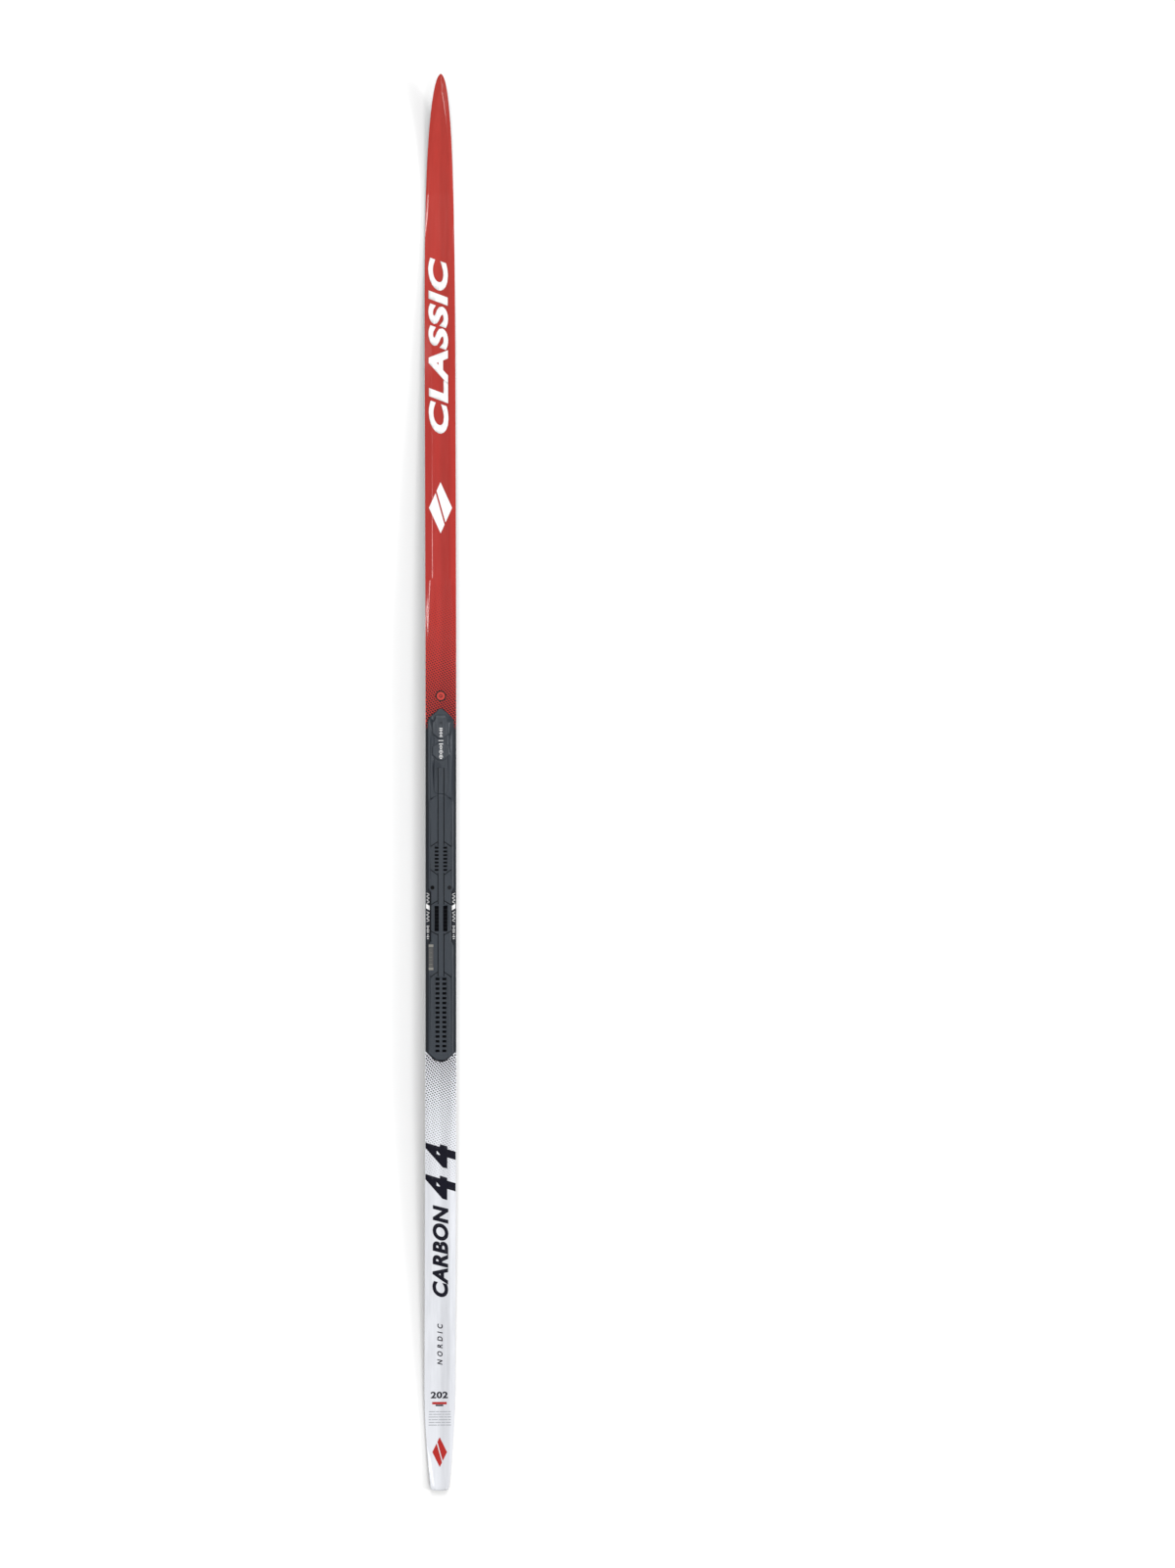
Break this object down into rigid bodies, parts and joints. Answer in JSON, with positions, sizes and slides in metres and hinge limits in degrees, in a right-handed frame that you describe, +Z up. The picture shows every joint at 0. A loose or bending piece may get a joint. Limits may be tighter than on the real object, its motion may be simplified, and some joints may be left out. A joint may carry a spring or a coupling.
{
  "type": "cross country ski",
  "caption": "Long narrow laminated ski for classic technique, with a raised tip, camber, bevelled printed top and a bonded binding plate with toothed racks.",
  "frame": {"origin": "middle of the ski's length and width, on the surface that the running base touches", "axes": "+Y along the ski to the tip, +X to the right, +Z up out of the binding plate"},
  "size_m": [0.044, 2.02, 0.0513],
  "materials": {
    "base_black": "fine stone-ground structure",
    "carbon_sheet": "resin-cured carbon cloth",
    "carbon_sleeve": "braided carbon in resin",
    "carbon_tape": "lengthwise carbon fibre in resin",
    "sidewall_white": "satin",
    "insert_white": "satin",
    "core_foam": "closed-cell foam",
    "reinforcement_plate": "glass-filled sheet",
    "tag_film": "film",
    "printed_topsheet": "semi-gloss print under clear film",
    "badge_red": "gloss",
    "adhesive_film": "adhesive",
    "plate_black": "fine moulded grain",
    "label_film": "printed film"
  },
  "bodies": {
    "root": {"running_base": "base_black", "lower_laminate": "carbon_sheet", "sidewall_left": "sidewall_white", "sidewall_right": "sidewall_white", "torsion_wrap": "carbon_sleeve", "lower_carbon_tape": "carbon_tape", "foam_core": "core_foam", "binding_reinforcement": "reinforcement_plate", "upper_carbon_tape": "carbon_tape", "tip_insert": "insert_white", "tail_insert": "insert_white", "upper_laminate": "carbon_sheet", "radio_tag": "tag_film", "topsheet": "printed_topsheet", "round_badge": "badge_red", "plate_adhesive": "adhesive_film", "binding_plate": "plate_black", "plate_label": "label_film"}
  },
  "joints": []
}
